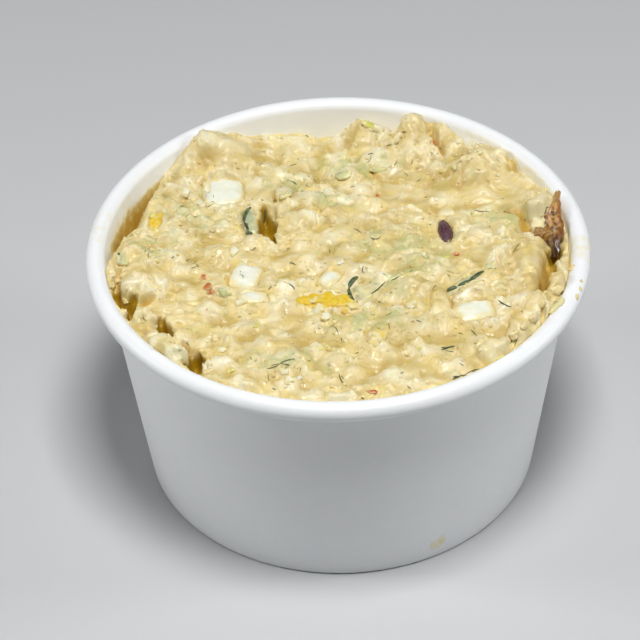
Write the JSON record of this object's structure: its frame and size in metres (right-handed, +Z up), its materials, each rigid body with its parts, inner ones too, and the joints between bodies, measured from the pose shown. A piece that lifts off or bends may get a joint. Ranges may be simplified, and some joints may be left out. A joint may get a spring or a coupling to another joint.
{
  "type": "potato salad in a paper cup",
  "caption": "Creamy potato salad with boiled egg, cucumber, dill, a bean and a fried crisp, filling a round white paper cup with a rolled rim.",
  "frame": {"origin": "on the table, at the centre of the cup's foot and of the whole part's footprint", "axes": "+Z up; -Y is the front that the picture shows; +X is to the right"},
  "size_m": [0.115, 0.115, 0.0633],
  "materials": {
    "paper_board": "white coated paper board, satin",
    "dressed_potato": "moist creamy dressing over potato lumps",
    "egg_white": "smooth moist boiled egg white",
    "egg_yolk": "dry crumbly boiled yolk",
    "cucumber": "wet pickled cucumber with dark skin",
    "bean_skin": "mottled dark bean skin",
    "fried_crust": "fried brown flake, slightly oily",
    "dill": "chopped dill threads",
    "pepper_fleck": "small orange red flecks"
  },
  "bodies": {
    "root": {"cup_wall": "paper_board", "cup_base": "paper_board", "potato_salad": "dressed_potato", "egg_white_1": "egg_white", "egg_white_2": "egg_white", "egg_white_3": "egg_white", "egg_white_4": "egg_white", "egg_white_5": "egg_white", "egg_yolk_1": "egg_yolk", "egg_yolk_2": "egg_yolk", "cucumber_1": "cucumber", "cucumber_2": "cucumber", "cucumber_3": "cucumber", "dark_bean": "bean_skin", "fried_crisp": "fried_crust"}
  },
  "joints": []
}
